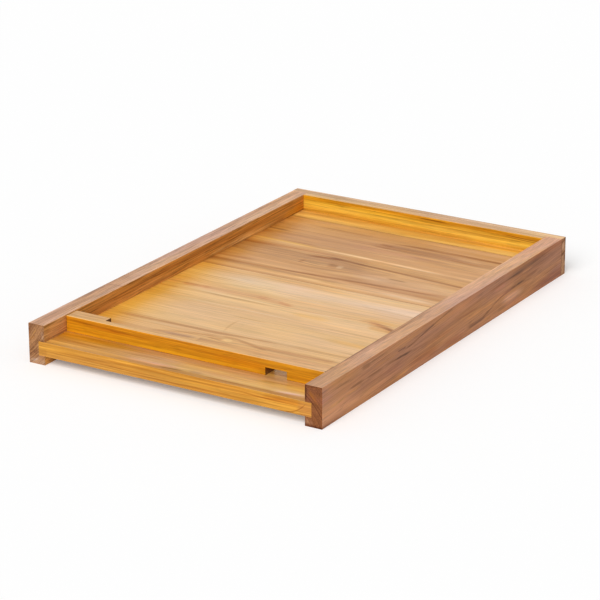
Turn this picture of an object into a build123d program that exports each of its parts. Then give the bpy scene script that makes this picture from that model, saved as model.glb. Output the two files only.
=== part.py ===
# Solid bottom board of an eight-frame hive: two grooved side rails and a grooved, rabbeted back rail
# round a floor of tongue-and-groove boards, with the loose entrance reducer lying between the rails.
# Millimetres, +Z up, front towards -Y, origin on the ground at the middle of the footprint.
import os

from build123d import *

# Rails
board_width = 355.6
board_length = 536.0
rail_height = 44.0
side_rail_thickness = 19.8
back_rail_thickness = 19.0
lap_thickness = 10.0  # cheek of the back rail that covers the side rails' back ends
edge_round = 0.5  # eased arris along the rails and the floor's front edge

# Groove that houses the floor in all three rails
under_floor_gap = 10.0
floor_thickness = 15.6
housing_depth = 7.8
housing_fit = 0.1  # play above the floor in its groove
housing_gap = 0.3  # play between the floor's edge and the bottom of the groove

# Floor boards, laid across; the board in front of the middle joint takes up the rest of the length
front_board_cover = 72.0
mid_rear_board_cover = 192.5
rear_board_cover = 26.3
tongue_thickness = 5.2
tongue_length = 6.0
tongue_gap = 0.3  # play at the tongue's tip
tongue_fit = 0.1  # play on each face of the tongue
joint_ease = 0.3  # fine chamfer along each joint's top edges

# Entrance reducer
reducer_setback = 39.5  # from the board's front end to the reducer's front face
reducer_depth = 18.2
reducer_top_gap = 1.0  # below the rail tops
reducer_left_gap = 0.3
reducer_right_gap = 1.4
reducer_round = 0.6
end_block_length = 44.2  # from the reducer's left end to the long notch
long_notch_length = 111.8
long_notch_depth = 10.2
small_notch_width = 25.4
small_notch_height = 8.8
small_notch_from_right = 43.7  # from the reducer's right end to the notch

# Nails that pin the back rail's laps to the side rails' ends
nail_length = 38.0
nail_shank_diameter = 2.2
nail_head_diameter = 5.0
nail_head_thickness = 1.0
nail_point_length = 4.0
nail_fit = 0.05  # play round the nail in its hole
nail_from_side = 6.4  # nail's axis to the board's outer side
nail_from_edge = 10.0  # nail's axis to the rail's top or bottom edge

# Places worked out from the sizes above
half_width = board_width / 2
front_end = -board_length / 2
back_end = board_length / 2
side_inner = half_width - side_rail_thickness
back_inner = back_end - back_rail_thickness
side_rail_end = back_end - lap_thickness
floor_bottom = under_floor_gap
floor_top = floor_bottom + floor_thickness
housing_top = floor_top + housing_fit
floor_half_span = side_inner + housing_depth - housing_gap
floor_rear_edge = back_inner + housing_depth - housing_gap


def block(low, high):
    """Box between two opposite corners."""
    size = [b - a for a, b in zip(low, high)]
    return Pos(*low) * Box(*size, align=(Align.MIN, Align.MIN, Align.MIN))


def rounded_bar(plane, low, high, radius, length):
    """Bar of rounded rectangular section, extruded from the plane along its normal."""
    centre = ((low[0] + high[0]) / 2, (low[1] + high[1]) / 2)
    section = RectangleRounded(high[0] - low[0], high[1] - low[1], radius)
    return extrude(plane * Pos(*centre) * section, length)


def nail_places():
    """Axis points of the nails on the back face, two at each corner."""
    for side in (-1, 1):
        for height in (nail_from_edge, rail_height - nail_from_edge):
            yield (side * (half_width - nail_from_side), back_end, height)


def nail(play=0.0):
    """Flat-headed nail along -Y with its head flush at the origin; play makes the hole that it fills."""
    shank = nail_shank_diameter / 2 + play
    head = nail_head_diameter / 2 + play
    under_head = -nail_head_thickness - play
    tip = -nail_length - play
    outline = Polyline(
        (0, 0), (head, 0), (head, under_head), (shank, under_head),
        (shank, tip + nail_point_length), (0, tip), close=True,
    )
    return revolve(make_face(outline), Axis.Y)


def nail_holes():
    return [Pos(*place) * nail(nail_fit) for place in nail_places()]


def side_rail(side):
    """Left (-1) or right (+1) rail: the groove for the floor runs out at both ends."""
    inner, outer = sorted((side * side_inner, side * half_width))
    rail = rounded_bar(Plane.XZ.offset(-side_rail_end), (inner, 0), (outer, rail_height),
                       edge_round, side_rail_end - front_end)
    groove_low, groove_high = sorted((side * side_inner, side * (side_inner + housing_depth)))
    rail -= block((groove_low, front_end, floor_bottom), (groove_high, side_rail_end, housing_top))
    return rail - nail_holes()


def back_rail():
    """Rail across the back, rabbeted at both ends so that its laps cover the side rails' ends."""
    rail = rounded_bar(Plane.YZ.offset(-half_width), (back_inner, 0), (back_end, rail_height),
                       edge_round, board_width)
    for low, high in ((-half_width, -side_inner), (side_inner, half_width)):
        rail -= block((low, back_inner, 0), (high, side_rail_end, rail_height))
    groove_back = back_inner + housing_depth
    rail -= block((-side_inner, back_inner, floor_bottom), (side_inner, groove_back, housing_top))
    return rail - nail_holes()


def floor_board(front, rear, tongue, groove):
    """Board across the floor, with a tongue on its front edge and a groove in its rear edge where asked."""
    middle = (floor_bottom + floor_top) / 2
    section = Pos((front + rear) / 2, middle) * Rectangle(rear - front, floor_thickness)
    front_edges = section.vertices().group_by(Axis.X)[0]
    if tongue:
        section = chamfer(front_edges.sort_by(Axis.Y)[-1], joint_ease)
        section += Pos(front, middle) * Rectangle(
            tongue_length, tongue_thickness, align=(Align.MAX, Align.CENTER))
    else:
        section = fillet(front_edges, edge_round)
    if groove:
        rear_edges = section.vertices().group_by(Axis.X)[-1]
        section = chamfer(rear_edges.sort_by(Axis.Y)[-1], joint_ease)
        section -= Pos(rear, middle) * Rectangle(
            tongue_length + tongue_gap, tongue_thickness + 2 * tongue_fit, align=(Align.MAX, Align.CENTER))
    return extrude(Plane.YZ * section, floor_half_span, both=True)


def entrance_reducer():
    """Stick across the entrance: a small notch in its underside and a long one in its back."""
    left = -side_inner + reducer_left_gap
    right = side_inner - reducer_right_gap
    front = front_end + reducer_setback
    back = front + reducer_depth
    top = rail_height - reducer_top_gap
    stick = rounded_bar(Plane.YZ.offset(left), (front, floor_top), (back, top), reducer_round, right - left)
    long_left = left + end_block_length
    long_right = long_left + long_notch_length
    stick -= block((long_left, back - long_notch_depth, floor_top), (long_right, back, top))
    small_right = right - small_notch_from_right
    small_left = small_right - small_notch_width
    return stick - block((small_left, front, floor_top), (small_right, back, floor_top + small_notch_height))


front_joint = front_end + front_board_cover
rear_joint = back_inner - rear_board_cover
middle_joint = rear_joint - mid_rear_board_cover

pieces = {
    "side_rail_left": side_rail(-1),
    "side_rail_right": side_rail(1),
    "back_rail": back_rail(),
    "floor_board_front": floor_board(front_end, front_joint, tongue=False, groove=True),
    "floor_board_mid_front": floor_board(front_joint, middle_joint, tongue=True, groove=True),
    "floor_board_mid_rear": floor_board(middle_joint, rear_joint, tongue=True, groove=True),
    "floor_board_rear": floor_board(rear_joint, floor_rear_edge, tongue=True, groove=False),
    "entrance_reducer": entrance_reducer(),
    "corner_nails": Compound(children=[Pos(*place) * nail() for place in nail_places()]),
}

os.makedirs("parts", exist_ok=True)
for name, shape in pieces.items():
    export_step(shape, f"parts/{name}.step")
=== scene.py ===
import math
from functools import partial

import bmesh
import bpy
from mathutils import Matrix, Quaternion, Vector


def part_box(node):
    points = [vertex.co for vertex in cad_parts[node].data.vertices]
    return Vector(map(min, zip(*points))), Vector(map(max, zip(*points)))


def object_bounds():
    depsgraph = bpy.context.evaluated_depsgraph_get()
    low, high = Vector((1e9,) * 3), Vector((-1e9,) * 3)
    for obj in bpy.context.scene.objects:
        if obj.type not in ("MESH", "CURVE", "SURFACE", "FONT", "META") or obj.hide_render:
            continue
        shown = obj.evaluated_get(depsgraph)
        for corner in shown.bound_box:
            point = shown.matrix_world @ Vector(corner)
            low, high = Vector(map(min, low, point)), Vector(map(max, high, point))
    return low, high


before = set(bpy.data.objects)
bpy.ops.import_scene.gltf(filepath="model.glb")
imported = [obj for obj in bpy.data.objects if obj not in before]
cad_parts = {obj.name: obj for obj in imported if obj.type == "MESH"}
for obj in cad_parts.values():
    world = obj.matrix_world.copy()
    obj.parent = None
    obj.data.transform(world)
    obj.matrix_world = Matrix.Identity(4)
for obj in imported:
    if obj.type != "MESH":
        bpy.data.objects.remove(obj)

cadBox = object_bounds()
perMetre = 1000.0  # the woods are written in millimetres
white = (1.0, 1.0, 1.0, 1.0)
print("frame loaded:", len(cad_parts), "nodes")


# Wiring helpers

def feed(tree, socket, value):  # links an output, or sets a plain value
    if isinstance(value, bpy.types.NodeSocket):
        tree.links.new(value, socket)
    else:
        socket.default_value = value


def feedNamed(tree, node, values):
    for name, value in values.items():
        feed(tree, node.inputs[name], value)


def feedRow(tree, node, values):  # the first inputs, in their order
    for socket, value in zip(node.inputs, values):
        feed(tree, socket, value)


def addNode(tree, kind, values=None, **settings):
    node = tree.nodes.new(kind)
    for name, value in settings.items():
        setattr(node, name, value)
    feedNamed(tree, node, values or {})
    return node


def calc(tree, operation, *values):
    node = addNode(tree, "ShaderNodeMath", operation=operation)
    feedRow(tree, node, values)
    return node.outputs[0]


def vectorCalc(tree, operation, *values):
    node = addNode(tree, "ShaderNodeVectorMath", operation=operation)
    feedRow(tree, node, values)
    return node.outputs["Value" if operation == "DOT_PRODUCT" else "Vector"]


def scaled(tree, vector, factor):
    values = {"Vector": vector, "Scale": factor}
    return addNode(tree, "ShaderNodeVectorMath", values, operation="SCALE").outputs["Vector"]


def centred(tree, value):  # a pattern of 0 to 1 about zero
    return calc(tree, "SUBTRACT", value, 0.5)


def ease(tree, value, low, high):  # 0 below low, 1 above high, smooth between
    node = addNode(tree, "ShaderNodeMapRange", interpolation_type="SMOOTHSTEP", clamp=False)
    feedRow(tree, node, (value, low, high, 0.0, 1.0))
    return node.outputs[0]


def parts(tree, vector):
    return addNode(tree, "ShaderNodeSeparateXYZ", {"Vector": vector}).outputs


def joined(tree, x, y, z):
    return addNode(tree, "ShaderNodeCombineXYZ", {"X": x, "Y": y, "Z": z}).outputs[0]


def opaque(tint):
    return (*tint, 1.0)


def mixColour(tree, factor, first, second, mode="MIX"):
    node = addNode(tree, "ShaderNodeMix", data_type="RGBA", blend_type=mode)
    for index, value in ((0, factor), (6, first), (7, second)):  # sockets of the colour kind
        feed(tree, node.inputs[index], value)
    return node.outputs[2]


def dimmed(tree, colour, value):
    return addNode(tree, "ShaderNodeHueSaturation", {"Color": colour, "Value": value}).outputs["Color"]


def noise(tree, vector, detail, roughness):
    values = {"Vector": vector, "Scale": 1.0, "Detail": detail, "Roughness": roughness}
    return addNode(tree, "ShaderNodeTexNoise", values).outputs


def floats(*names):
    return dict.fromkeys(names, "Float")


def startGroup(name, inputs, outputs):
    group = bpy.data.node_groups.new(name, "ShaderNodeTree")
    for way, sockets in (("INPUT", inputs), ("OUTPUT", outputs)):
        for label, kind in sockets.items():
            group.interface.new_socket(label, in_out=way, socket_type="NodeSocket" + kind)
    given = addNode(group, "NodeGroupInput")
    result = addNode(group, "NodeGroupOutput")
    return group, given.outputs, result


def useGroup(tree, group, values):
    return addNode(tree, "ShaderNodeGroup", values, node_tree=group).outputs


def startMaterial(name):
    material = bpy.data.materials.new(name)
    material.use_nodes = True
    return material, material.node_tree, material.node_tree.nodes["Principled BSDF"]


def dress(piece, material):  # the piece's node wears this material alone
    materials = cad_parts[piece["node"]].data.materials
    materials.clear()
    materials.append(material)


# Wood effects, in grain coordinates: x along the grain, y across the face, z through it

figureLook = {"seedStep": (17.3, 5.1, 9.7), "swayStretch": (0.006, 0.014), "swayReach": (0.0, 2.0, 2.0),
              "swayNoise": (2.0, 0.5), "ringNoise": (3.0, 0.6),
              "ringStretch": 0.13, "ringUneven": 8.0, "ringBack": 0.9, "ringContrast": 1.6, "lateLeast": 0.5}
# Stretch along and across the grain, detail, roughness, and where the mark begins and is full
figureNoises = {
    "Band": (0.0022, 0.045, 2.0, 0.5, 0.3, 0.7),
    "Drift": (0.009, 0.04, 2.0, 0.5, 0.3, 0.7),
    "Streaky": (0.0042, 0.1, 6.0, 0.72, 0.36, 0.66),
    "Fibre": (0.014, 0.9, 3.0, 0.6, 0.25, 0.75),
    "Pores": (0.045, 0.65, 3.0, 0.6, 0.54, 0.68),
}


def makeWoodFigure():
    tree, given, result = startGroup(
        "woodFigure",
        {"Vector": "Vector", **floats("Pith Across", "Pith Depth", "Pith Drift", "Ring Width", "Late Share",
                                      "Wander", "Seed")},
        {"Sway": "Vector", **floats("Ring", "Late", *figureNoises)})
    look = figureLook
    vector = given["Vector"]
    seedShift = scaled(tree, joined(tree, *look["seedStep"]), given["Seed"])

    def stretched(along, across):
        return vectorCalc(tree, "MULTIPLY_ADD", vector, (along, across, across), seedShift)

    sway = noise(tree, stretched(*look["swayStretch"]), *look["swayNoise"])["Color"]
    sway = vectorCalc(tree, "SUBTRACT", sway, (0.5, 0.5, 0.5))
    sway = scaled(tree, vectorCalc(tree, "MULTIPLY", sway, look["swayReach"]), given["Wander"])
    along, across, depth = parts(tree, vectorCalc(tree, "ADD", vector, sway))

    fromPith = calc(tree, "SUBTRACT", across, given["Pith Across"])
    below = calc(tree, "SUBTRACT", depth, given["Pith Depth"])
    below = calc(tree, "SUBTRACT", below, calc(tree, "MULTIPLY", along, given["Pith Drift"]))
    squares = calc(tree, "MULTIPLY_ADD", fromPith, fromPith, calc(tree, "MULTIPLY", below, below))
    radius = calc(tree, "SQRT", squares)
    slow = joined(tree, calc(tree, "MULTIPLY", radius, look["ringStretch"]), given["Seed"], 0.0)
    uneven = centred(tree, noise(tree, slow, *look["ringNoise"])[0])
    evenRings = calc(tree, "DIVIDE", radius, given["Ring Width"])
    rings = calc(tree, "MULTIPLY_ADD", uneven, look["ringUneven"], evenRings)
    share = calc(tree, "FRACT", rings)
    ringNumber = calc(tree, "ADD", calc(tree, "FLOOR", rings), given["Seed"])
    tone = addNode(tree, "ShaderNodeTexWhiteNoise", noise_dimensions="1D")
    feedNamed(tree, tone, {"W": ringNumber})
    tone = tone.outputs["Value"]
    early = calc(tree, "SUBTRACT", look["ringBack"], given["Late Share"])
    late = calc(tree, "SUBTRACT", ease(tree, share, early, look["ringBack"]),
                ease(tree, share, look["ringBack"], 1.0))
    lateTone = calc(tree, "MULTIPLY_ADD", tone, 1.0 - look["lateLeast"], look["lateLeast"])

    feedNamed(tree, result, {
        "Sway": sway, "Ring": calc(tree, "MULTIPLY", late, calc(tree, "POWER", tone, look["ringContrast"])),
        "Late": calc(tree, "MULTIPLY", late, lateTone)})
    for name, (stretchAlong, stretchAcross, detail, roughness, low, high) in figureNoises.items():
        pattern = noise(tree, stretched(stretchAlong, stretchAcross), detail, roughness)[0]
        feed(tree, result.inputs[name], ease(tree, pattern, low, high))
    return tree


# Narrower tips, fibrous edges, full strength this near the line
streakLook = {"taper": 0.55, "ragged": 0.45, "core": 0.1}


def makeGrainStreak():
    tree, given, result = startGroup(
        "grainStreak",
        {"Vector": "Vector", **floats("Fibre", "Place", "Slope", "Bend", "Half Width", "Start", "End", "Fade",
                                      "Strength")},
        floats("Mask"))
    along, across = parts(tree, given["Vector"])[:2]
    slope = calc(tree, "MULTIPLY_ADD", along, given["Bend"], given["Slope"])
    line = calc(tree, "MULTIPLY_ADD", slope, along, given["Place"])
    begun = ease(tree, along, given["Start"], calc(tree, "ADD", given["Start"], given["Fade"]))
    ended = ease(tree, along, calc(tree, "SUBTRACT", given["End"], given["Fade"]), given["End"])
    within = calc(tree, "MULTIPLY", begun, calc(tree, "SUBTRACT", 1.0, ended))
    tapered = calc(tree, "MULTIPLY_ADD", within, streakLook["taper"], 1.0 - streakLook["taper"])
    reach = calc(tree, "MULTIPLY", given["Half Width"], tapered)
    off = calc(tree, "ABSOLUTE", calc(tree, "SUBTRACT", across, line))
    off = calc(tree, "DIVIDE", off, reach)
    off = calc(tree, "MULTIPLY_ADD", centred(tree, given["Fibre"]), streakLook["ragged"], off)
    beside = calc(tree, "SUBTRACT", 1.0, ease(tree, off, streakLook["core"], 1.0))
    mask = calc(tree, "MULTIPLY", calc(tree, "MULTIPLY", beside, within), given["Strength"])
    feed(tree, result.inputs["Mask"], mask)
    return tree


knotLook = {"pull": 0.16, "halo": 0.45, "bend": 0.8, "coreEdge": (0.55, 1.05)}


def makeKnotFlow():  # bends the grain round a knot
    tree, given, result = startGroup(
        "knotFlow", {"Vector": "Vector", **floats("Along", "Across", "Radius", "Stretch")},
        {"Vector": "Vector", **floats("Core", "Halo")})
    along, across, depth = parts(tree, given["Vector"])
    beyond = calc(tree, "DIVIDE", calc(tree, "SUBTRACT", along, given["Along"]), given["Stretch"])
    aside = calc(tree, "SUBTRACT", across, given["Across"])
    squares = calc(tree, "MULTIPLY_ADD", beyond, beyond, calc(tree, "MULTIPLY", aside, aside))
    far = calc(tree, "DIVIDE", calc(tree, "SQRT", squares), given["Radius"])
    farSquared = calc(tree, "MULTIPLY", far, far)
    pull = calc(tree, "EXPONENT", calc(tree, "MULTIPLY", farSquared, -knotLook["pull"]))
    halo = calc(tree, "EXPONENT", calc(tree, "MULTIPLY", farSquared, -knotLook["halo"]))
    moved = calc(tree, "MULTIPLY", calc(tree, "MULTIPLY", aside, pull), -knotLook["bend"])
    feedNamed(tree, result, {
        "Vector": joined(tree, along, calc(tree, "ADD", across, moved), depth),
        "Core": calc(tree, "SUBTRACT", 1.0, ease(tree, far, *knotLook["coreEdge"])), "Halo": halo})
    return tree


wearLook = {"blotchScale": 0.07, "blotchNoise": (3.0, 0.6), "blotchGain": 2.4, "blotchLoss": 0.55,
            "least": 0.05, "ragged": 0.5}


def makeArrisWear():
    tree, given, result = startGroup(
        "arrisWear", {"Vector": "Vector", "Low": "Vector", "High": "Vector", **floats("Width", "Fibre")},
        floats("Mask"))
    fromLow = vectorCalc(tree, "SUBTRACT", given["Vector"], given["Low"])
    fromHigh = vectorCalc(tree, "SUBTRACT", given["High"], given["Vector"])
    nearX, nearY, nearZ = parts(tree, vectorCalc(tree, "MINIMUM", fromLow, fromHigh))
    nearer = calc(tree, "MINIMUM", nearX, nearY)
    farther = calc(tree, "MAXIMUM", nearX, nearY)
    toArris = calc(tree, "MAXIMUM", nearer, calc(tree, "MINIMUM", farther, nearZ))  # middle one of the three
    look = wearLook
    blotch = noise(tree, scaled(tree, given["Vector"], look["blotchScale"]), *look["blotchNoise"])[0]
    blotch = calc(tree, "MULTIPLY_ADD", blotch, look["blotchGain"], -look["blotchLoss"])
    reach = calc(tree, "MAXIMUM", calc(tree, "MULTIPLY", given["Width"], blotch), look["least"])
    ragged = calc(tree, "MULTIPLY_ADD", centred(tree, given["Fibre"]), look["ragged"], toArris)
    feed(tree, result.inputs["Mask"], calc(tree, "SUBTRACT", 1.0, ease(tree, ragged, 0.0, reach)))
    return tree


waxLook = {"smearStretch": (0.01, 0.035, 0.035), "smearNoise": (3.0, 0.55), "smearRough": 0.16,
           "fibreRough": 0.08, "patchRough": 0.2, "ringHeight": 0.35, "fibreHeight": 0.5, "poreDepth": 0.5}


def makeWaxFinish():
    tree, given, result = startGroup(
        "waxFinish", {"Vector": "Vector", **floats("Roughness", "Fibre", "Ring", "Pores", "Rough Patch")},
        floats("Roughness", "Height"))
    look = waxLook
    smear = vectorCalc(tree, "MULTIPLY", given["Vector"], look["smearStretch"])
    smear = noise(tree, smear, *look["smearNoise"])[0]
    rough = calc(tree, "MULTIPLY_ADD", centred(tree, smear), look["smearRough"], given["Roughness"])
    rough = calc(tree, "MULTIPLY_ADD", centred(tree, given["Fibre"]), look["fibreRough"], rough)
    rough = calc(tree, "MULTIPLY_ADD", given["Rough Patch"], look["patchRough"], rough)
    height = calc(tree, "MULTIPLY", given["Fibre"], look["fibreHeight"])
    height = calc(tree, "MULTIPLY_ADD", given["Ring"], look["ringHeight"], height)
    height = calc(tree, "MULTIPLY_ADD", given["Pores"], -look["poreDepth"], height)
    feedNamed(tree, result, {"Roughness": rough, "Height": height})
    return tree


woodFigure = makeWoodFigure()
grainStreak = makeGrainStreak()
knotFlow = makeKnotFlow()
arrisWear = makeArrisWear()
waxFinish = makeWaxFinish()
print("wood effects ready")


# How each kind of piece lies: where its grain runs, and where its places are measured from
fromFront = -cadBox[0].y * perMetre
lies = {
    "floor": {"turn": Matrix.Identity(3), "shift": (0.0, fromFront, 0.0), "endAxis": (1.0, 0.0, 0.0)},
    "side": {"turn": Matrix(((0, 1, 0), (0, 0, 1), (1, 0, 0))), "shift": (fromFront, 0.0, 0.0),
             "endAxis": (0.0, 1.0, 0.0)},
    "cross": {"turn": Matrix(((1, 0, 0), (0, 0, 1), (0, -1, 0))), "shift": (0.0, 0.0, 0.0),
              "endAxis": (1.0, 0.0, 0.0)},
}
directions = {"up": (0.0, 0.0, 1.0), "front": (0.0, -1.0, 0.0), "right": (1.0, 0.0, 0.0)}

# What a mark multiplies the wood's colour by
tints = {
    "line": (0.78, 0.7, 0.56),
    "deep": (0.45, 0.36, 0.28),
    "slate": (0.36, 0.31, 0.31),
    "dusky": (0.72, 0.64, 0.62),
    "brown": (0.8, 0.68, 0.5),
    "tan": (0.92, 0.8, 0.55),
    "orange": (1.03, 0.86, 0.3),
    "honey": (1.2, 1.34, 1.45),
    "cream": (1.07, 1.2, 1.5),
    "pale": (1.25, 1.5, 2.1),
    "rose": (0.98, 0.9, 1.15),
    "ash": (0.82, 0.79, 1.0),
    "shade": (0.72, 0.66, 0.58),
    "lift": (1.3, 1.36, 1.45),
    "mauve": (1.04, 1.0, 1.25),
    "olive": (0.6, 0.54, 0.38),
    "rust": (0.9, 0.76, 0.6),
    "russet": (0.94, 0.81, 0.71),
    "gilt": (1.16, 1.16, 0.9),
    "blush": (1.22, 1.15, 1.3),
    "amber": (1.0, 0.96, 0.45),
}
grainTints = {"Streaky": (0.65, 0.54, 0.42), "Ring": (0.57, 0.45, 0.34)}
driftTints = {"cool": (0.97, 0.97, 1.22), "warm": (1.03, 1.0, 0.76)}
longestFade = 45.0
fadeShare = 0.35  # of a shorter streak's length


def streak(start, end, wide, tint, strength=1.0, sag=0.0, fade=None, run="grain", face=None):
    # from one point to another in millimetres, or to one place along if it runs level; sag bows its middle,
    # run says which way its places are read, and face keeps it to one face
    x0, y0 = start
    x1, y1 = end if isinstance(end, tuple) else (end, y0)
    length = x1 - x0
    rise = (y1 - y0) / length
    bow = 4.0 * sag / length ** 2
    shape = {"Place": y0 - rise * x0 - bow * x0 * x1, "Slope": rise + bow * (x0 + x1), "Bend": -bow,
             "Half Width": wide, "Start": x0, "End": x1, "Strength": strength,
             "Fade": min(longestFade, fadeShare * length) if fade is None else fade}
    return {"shape": shape, "tint": tint, "run": run, "face": "end" if run.startswith("end") else face}


straight = partial(streak, run="joint")  # unmoved by the grain's sway
athwart = partial(streak, run="athwart")  # across the grain
onTop = partial(streak, run="edge", face="up")  # on a rail's or the reducer's top
onSide = partial(streak, face="right")  # on a side rail's right face
onFront = partial(streak, face="front")
onEdge = partial(streak, run="edge", face="front")  # on the floor's front edge
onEnd = partial(streak, run="end")  # over the end grain
upEnd = partial(streak, run="endUpright")


def knot(along, across, radius, stretch, core, halo, strength):
    shape = {"Along": along, "Across": across, "Radius": radius, "Stretch": stretch}
    return {"shape": shape, "core": core, "halo": halo, "strength": strength}


woodLook = {"ringRagged": 0.2, "facing": (0.6, 0.9), "endFibre": 0.5, "endDim": 0.75, "haloShare": 0.6,
            "bump": 0.35, "bumpDepth": 0.00012, "ior": 1.5, "specular": 0.15, "soakGain": 0.95,
            "soakLeast": 0.12}


def woodMaterial(piece):
    material, tree, shader = startMaterial(piece["node"] + "Wood")
    look = woodLook
    lie = lies[piece["lie"]]
    coords = addNode(tree, "ShaderNodeTexCoord").outputs
    grain = addNode(tree, "ShaderNodeMapping", {
        "Vector": coords["Object"], "Scale": (perMetre,) * 3, "Rotation": lie["turn"].to_euler(),
        "Location": lie["shift"]}).outputs["Vector"]
    vector = grain

    knots = []
    for spot in piece.get("knots", []):
        flow = useGroup(tree, knotFlow, {"Vector": vector, **spot["shape"]})
        vector = flow["Vector"]
        knots.append((spot, flow))

    rings = piece["rings"]
    lean = (0.0, 0.0, -math.radians(rings.get("tilt", 0.0)))
    leaning = addNode(tree, "ShaderNodeMapping", {"Vector": vector, "Rotation": lean}).outputs["Vector"]
    figure = useGroup(tree, woodFigure, {
        "Vector": leaning, "Pith Across": rings["across"], "Pith Depth": rings["depth"],
        "Pith Drift": rings["drift"], "Ring Width": rings["width"], "Late Share": rings["late"],
        "Wander": rings["wander"], "Seed": piece["seed"]})
    fibre = figure["Fibre"]
    ragged = calc(tree, "MULTIPLY_ADD", figure["Ring"], -look["ringRagged"], fibre)  # for the streaks
    along, across, depth = parts(tree, vectorCalc(tree, "ADD", vector, figure["Sway"]))
    runs = {"grain": joined(tree, along, across, depth), "joint": grain,
            "edge": joined(tree, along, depth, across), "athwart": joined(tree, across, along, depth),
            "edgeAthwart": joined(tree, depth, along, across), "end": joined(tree, depth, across, along),
            "endUpright": joined(tree, across, depth, along)}

    colours = {name: opaque(tint) for name, tint in piece["colours"].items()}
    shares = piece["shares"]

    def layer(under, share, tint):
        over = mixColour(tree, share, white, opaque(tint))
        return mixColour(tree, 1.0, under, over, "MULTIPLY")

    colour = mixColour(tree, figure["Band"], colours["light"], colours["band"])
    for name, tint in grainTints.items():
        colour = layer(colour, calc(tree, "MULTIPLY", figure[name], shares[name.lower()]), tint)
    tone = calc(tree, "MULTIPLY_ADD", centred(tree, fibre), shares["fibre"], 1.0)
    tone = calc(tree, "MULTIPLY_ADD", figure["Pores"], -shares["pores"], tone)
    colour = dimmed(tree, colour, tone)
    drift = mixColour(tree, figure["Drift"], opaque(driftTints["cool"]), opaque(driftTints["warm"]))
    colour = mixColour(tree, shares["drift"], colour, drift, "MULTIPLY")

    def facing(direction):
        return ease(tree, vectorCalc(tree, "DOT_PRODUCT", coords["Normal"], direction), *look["facing"])

    faceMasks = {name: facing(direction) for name, direction in directions.items()}
    # Per-face tints paint light into the colour: paler tops stand for painted sheen, deeper fronts and inner
    # faces for painted light
    for name, tint in piece.get("paintedFaceLight", {}).items():
        colour = layer(colour, faceMasks[name], tint)

    endMask = calc(tree, "MAXIMUM", facing(lie["endAxis"]), facing([-part for part in lie["endAxis"]]))
    faceMasks["end"] = endMask
    endColour = mixColour(tree, figure["Late"], colours["endLight"], colours["endDark"])
    endColour = dimmed(tree, endColour, calc(tree, "MULTIPLY_ADD", fibre, look["endFibre"], look["endDim"]))
    colour = mixColour(tree, endMask, colour, endColour)

    marks = white  # streaks and knots gather here, then tint the wood
    for mark in piece["streaks"]:
        values = {"Vector": runs[mark["run"]], "Fibre": ragged, **mark["shape"]}
        mask = useGroup(tree, grainStreak, values)["Mask"]
        if mark["face"]:
            mask = calc(tree, "MULTIPLY", mask, faceMasks[mark["face"]])
        marks = layer(marks, mask, tints[mark["tint"]])
    for spot, flow in knots:
        for output, share in (("Halo", look["haloShare"]), ("Core", 1.0)):
            mask = calc(tree, "MULTIPLY", flow[output], spot["strength"] * share)
            marks = layer(marks, mask, tints[spot[output.lower()]])
    colour = mixColour(tree, 1.0, colour, marks, "MULTIPLY")

    low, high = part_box(piece["node"])
    wear = piece["wear"]
    worn = useGroup(tree, arrisWear, {
        "Vector": scaled(tree, coords["Object"], perMetre), "Low": low * perMetre, "High": high * perMetre,
        "Width": wear["width"], "Fibre": fibre})["Mask"]
    # Arris tint: darker joints on the floor boards; elsewhere lighter rubbed arrises with a painted edge
    # highlight
    colour = layer(colour, calc(tree, "MULTIPLY", worn, wear["share"]), wear["tint"])

    gloss = piece["gloss"]
    finish = useGroup(tree, waxFinish, {
        "Vector": vector, "Roughness": gloss["rough"], "Fibre": fibre, "Ring": figure["Ring"],
        "Pores": figure["Pores"], "Rough Patch": calc(tree, "MAXIMUM", endMask, worn)})
    bump = addNode(tree, "ShaderNodeBump", {
        "Height": finish["Height"], "Strength": look["bump"], "Distance": look["bumpDepth"]})
    waxed = calc(tree, "MULTIPLY_ADD", faceMasks["up"], gloss["coatUp"] - gloss["coat"], gloss["coat"])
    # dark grain soaks up the wax
    paleness = calc(tree, "DIVIDE", parts(tree, colour)[0], colours["light"][0])
    paleness = calc(tree, "MULTIPLY_ADD", paleness, look["soakGain"], look["soakLeast"])
    paleness = calc(tree, "MINIMUM", paleness, 1.0)
    feedNamed(tree, shader, {
        "Base Color": colour, "Roughness": finish["Roughness"], "Normal": bump.outputs["Normal"],
        "IOR": look["ior"], "Specular IOR Level": look["specular"],
        "Coat Weight": calc(tree, "MULTIPLY", waxed, paleness), "Coat Roughness": gloss["coatRough"]})
    dress(piece, material)
    print("wood on", piece["node"], "with", len(piece["streaks"]), "streaks")


floorGloss = {"rough": 0.42, "coat": 0.1, "coatUp": 0.35, "coatRough": 0.34}
dryGloss = {"rough": 0.46, "coat": 0.1, "coatUp": 0.25, "coatRough": 0.28}
railGloss = {"rough": 0.46, "coat": 0.06, "coatUp": 0.3, "coatRough": 0.28}
# Lighter arrises: partly rubbed wear, partly a painted edge highlight
rubbedArrisAndGlint = {"width": 1.2, "share": 0.45, "tint": (1.15, 1.2, 1.35)}
jointWear = {"width": 0.7, "share": 0.5, "tint": (0.7, 0.6, 0.5)}
paleEnds = {"endLight": (0.34, 0.15, 0.035), "endDark": (0.16, 0.055, 0.012)}

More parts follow.
